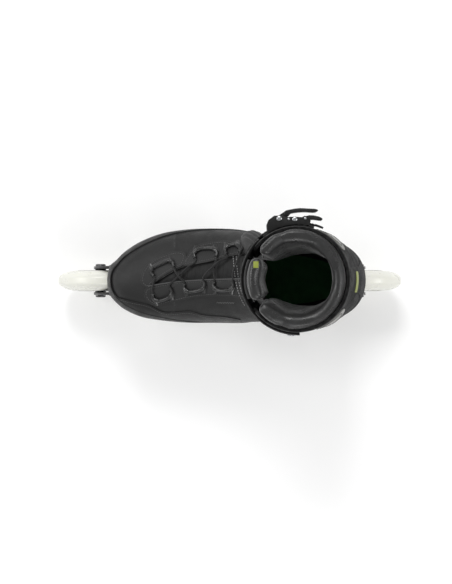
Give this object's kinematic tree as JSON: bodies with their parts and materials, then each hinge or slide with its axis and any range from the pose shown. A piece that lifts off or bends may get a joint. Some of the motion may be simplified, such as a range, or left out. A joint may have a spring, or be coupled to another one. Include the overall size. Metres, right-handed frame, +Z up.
{
  "type": "inline skate",
  "caption": "Right inline skate: laced soft boot with padded liner, hinged cuff with a ratchet buckle, metal frame and wheels in one line.",
  "frame": {"origin": "centre of the footprint on the ground; the wheel line lies 7.8 mm to the inner side of it", "axes": "+X towards the toe along the wheel line, +Y towards the inner side of the foot, +Z up"},
  "size_m": [0.406, 0.1365, 0.3332],
  "materials": {
    "urethane": "satin, slightly translucent white",
    "wheel_core": "satin",
    "steel": "turned, satin",
    "frame_metal": "black anodised, satin",
    "black_plastic": "satin moulded",
    "upper": "coated synthetic, satin",
    "lining": "padded textile",
    "footbed": "brushed textile",
    "silver_trim": "satin silver",
    "lace": "braided"
  },
  "bodies": {
    "boot": {"frame": "frame_metal", "front_mount_bolt": "steel", "rear_mount_bolt": "steel", "outsole": "black_plastic", "toe_box": "upper", "quarter_inner": "upper", "quarter_outer": "upper", "toe_rand": "upper", "heel_counter": "upper", "liner_foot": "lining", "tongue_lower": "lining", "footbed": "footbed", "cuff_pivot_outer": "steel", "cuff_pivot_inner": "steel", "instep_strap": "lining", "lace": "lace", "axle_1": "steel", "axle_2": "steel", "axle_3": "steel", "axle_4": "steel", "wheel_1_spacer": "steel", "wheel_2_spacer": "steel", "wheel_3_spacer": "steel", "wheel_4_spacer": "steel", "lace_guide_outer_1": "black_plastic", "lace_guide_outer_2": "black_plastic", "lace_guide_outer_3": "black_plastic", "lace_guide_inner_1": "black_plastic", "lace_guide_inner_2": "black_plastic", "lace_guide_inner_3": "black_plastic"},
    "wheel_1": {"wheel_1_tyre": "urethane", "wheel_1_core": "wheel_core", "wheel_1_bearing_outer": "steel", "wheel_1_bearing_inner": "steel"},
    "wheel_2": {"wheel_2_tyre": "urethane", "wheel_2_core": "wheel_core", "wheel_2_bearing_outer": "steel", "wheel_2_bearing_inner": "steel"},
    "wheel_3": {"wheel_3_tyre": "urethane", "wheel_3_core": "wheel_core", "wheel_3_bearing_outer": "steel", "wheel_3_bearing_inner": "steel"},
    "wheel_4": {"wheel_4_tyre": "urethane", "wheel_4_core": "wheel_core", "wheel_4_bearing_outer": "steel", "wheel_4_bearing_inner": "steel"},
    "cuff": {"cuff": "black_plastic", "liner_collar": "lining", "tongue_upper": "lining", "cuff_panel_outer": "silver_trim", "cuff_panel_inner": "silver_trim", "cuff_strap": "black_plastic", "cuff_strap_pad": "lining", "ladder_strap": "black_plastic", "buckle_base": "black_plastic", "lever_pin": "steel", "release_pin": "steel", "strap_screw": "steel"},
    "buckle_lever": {"buckle_lever": "black_plastic"},
    "release_lever": {"release_lever": "black_plastic"}
  },
  "joints": [
    {"name": "wheel_1_spin", "type": "hinge", "parent": "boot", "child": "wheel_1", "pos_m": [0.153, 0.0078, 0.05], "axis": [0, 1, 0], "continuous": true},
    {"name": "wheel_2_spin", "type": "hinge", "parent": "boot", "child": "wheel_2", "pos_m": [0.051, 0.0078, 0.05], "axis": [0, 1, 0], "continuous": true},
    {"name": "wheel_3_spin", "type": "hinge", "parent": "boot", "child": "wheel_3", "pos_m": [-0.051, 0.0078, 0.05], "axis": [0, 1, 0], "continuous": true},
    {"name": "wheel_4_spin", "type": "hinge", "parent": "boot", "child": "wheel_4", "pos_m": [-0.153, 0.0078, 0.05], "axis": [0, 1, 0], "continuous": true},
    {"name": "cuff_flex", "type": "hinge", "parent": "boot", "child": "cuff", "pos_m": [-0.072, 0.0078, 0.205], "axis": [0, 1, 0], "range_deg": [0, 12], "stiffness_Nm_per_rad": 10, "springref_deg": -3.44},
    {"name": "buckle_open", "type": "hinge", "parent": "cuff", "child": "buckle_lever", "pos_m": [-0.0524, -0.0571, 0.298], "axis": [0, 0, 1], "range_deg": [0, 70], "stiffness_Nm_per_rad": 0.02, "springref_deg": -5.73},
    {"name": "release_lift", "type": "hinge", "parent": "cuff", "child": "release_lever", "pos_m": [-0.08, -0.0574, 0.298], "axis": [0, 0, 1], "range_deg": [0, 12], "stiffness_Nm_per_rad": 0.02, "springref_deg": -5.73}
  ]
}
